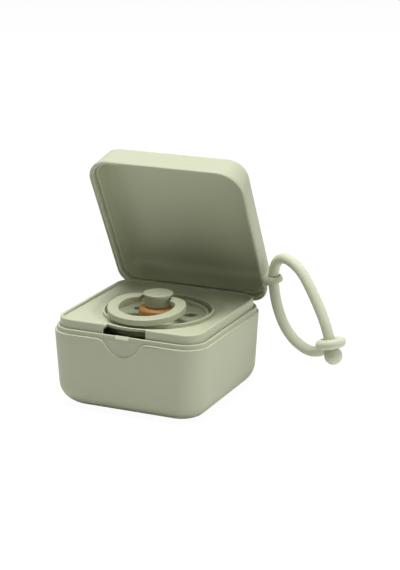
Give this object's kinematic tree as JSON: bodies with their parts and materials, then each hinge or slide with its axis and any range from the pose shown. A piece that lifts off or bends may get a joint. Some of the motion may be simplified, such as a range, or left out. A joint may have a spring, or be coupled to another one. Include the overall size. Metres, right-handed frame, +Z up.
{
  "type": "pacifier box",
  "caption": "Square travel box for a pacifier, with a hinged lid, a lift-out insert tray, a pacifier with a ring handle, and a silicone carrying strap.",
  "frame": {"origin": "middle of the flat bottom of the box, on the surface it stands on", "axes": "+Z up, -Y towards the front with the finger scoop, +X towards the side with the strap; the lid is drawn half open"},
  "size_m": [0.1155, 0.0837, 0.1041],
  "materials": {
    "shell_plastic": "matte sage green polypropylene with a fine moulded texture",
    "pacifier_plastic": "satin sage green polypropylene",
    "latex": "smooth amber natural rubber latex",
    "strap_silicone": "matte sage green silicone",
    "pin_steel": "plain drawn steel wire"
  },
  "bodies": {
    "base": {"base_shell": "shell_plastic", "hinge_pin": "pin_steel", "insert_tray": "shell_plastic"},
    "lid": {"lid_shell": "shell_plastic"},
    "strap": {"strap_cord": "strap_silicone", "strap_ring": "strap_silicone", "strap_ball": "strap_silicone"},
    "pacifier": {"pacifier_shield": "pacifier_plastic", "pacifier_nipple": "latex", "pacifier_knob": "pacifier_plastic"},
    "handle": {"ring_handle": "pacifier_plastic"}
  },
  "joints": [
    {"name": "lid_hinge", "type": "hinge", "parent": "base", "child": "lid", "pos_m": [0, 0.03854, 0.0343], "axis": [-1, 0, 0], "range_deg": [-62.2, 45]},
    {"name": "strap_swivel", "type": "hinge", "parent": "lid", "child": "strap", "pos_m": [0.0405, 0.0334, 0.04803], "axis": [0, 0, 1], "range_deg": [-10, 90]},
    {"name": "pacifier_turn", "type": "hinge", "parent": "base", "child": "pacifier", "pos_m": [0, 0, 0.036], "axis": [0, 0, 1], "continuous": true},
    {"name": "handle_swing", "type": "hinge", "parent": "pacifier", "child": "handle", "pos_m": [0, 0, 0.0439], "axis": [-1, 0, 0], "range_deg": [0, 193.2]}
  ]
}
